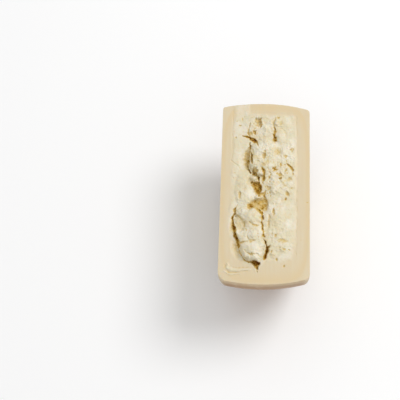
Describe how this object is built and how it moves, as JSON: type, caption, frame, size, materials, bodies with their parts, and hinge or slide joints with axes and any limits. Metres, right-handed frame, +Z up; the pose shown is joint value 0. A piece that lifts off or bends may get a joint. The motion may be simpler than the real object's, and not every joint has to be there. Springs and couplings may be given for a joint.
{
  "type": "half wheel of hard crumbly cheese",
  "caption": "Half of a drum-shaped wheel of pale, hard, crumbly cheese, split open and resting on its rind with the broken face up.",
  "frame": {"origin": "middle of the small flat on the rind that the half wheel rests on", "axes": "+Z up, out of the broken face; +Y along the broken face's length, away from the viewer of the picture's side; +X along the wheel's axis, to that viewer's right"},
  "size_m": [0.182, 0.4, 0.2167],
  "materials": {
    "cheese": "pale cream paste, dry and crumbly where torn, smooth and faintly waxy on the scored band and the rind"
  },
  "bodies": {
    "root": {"half_wheel": "cheese"}
  },
  "joints": []
}
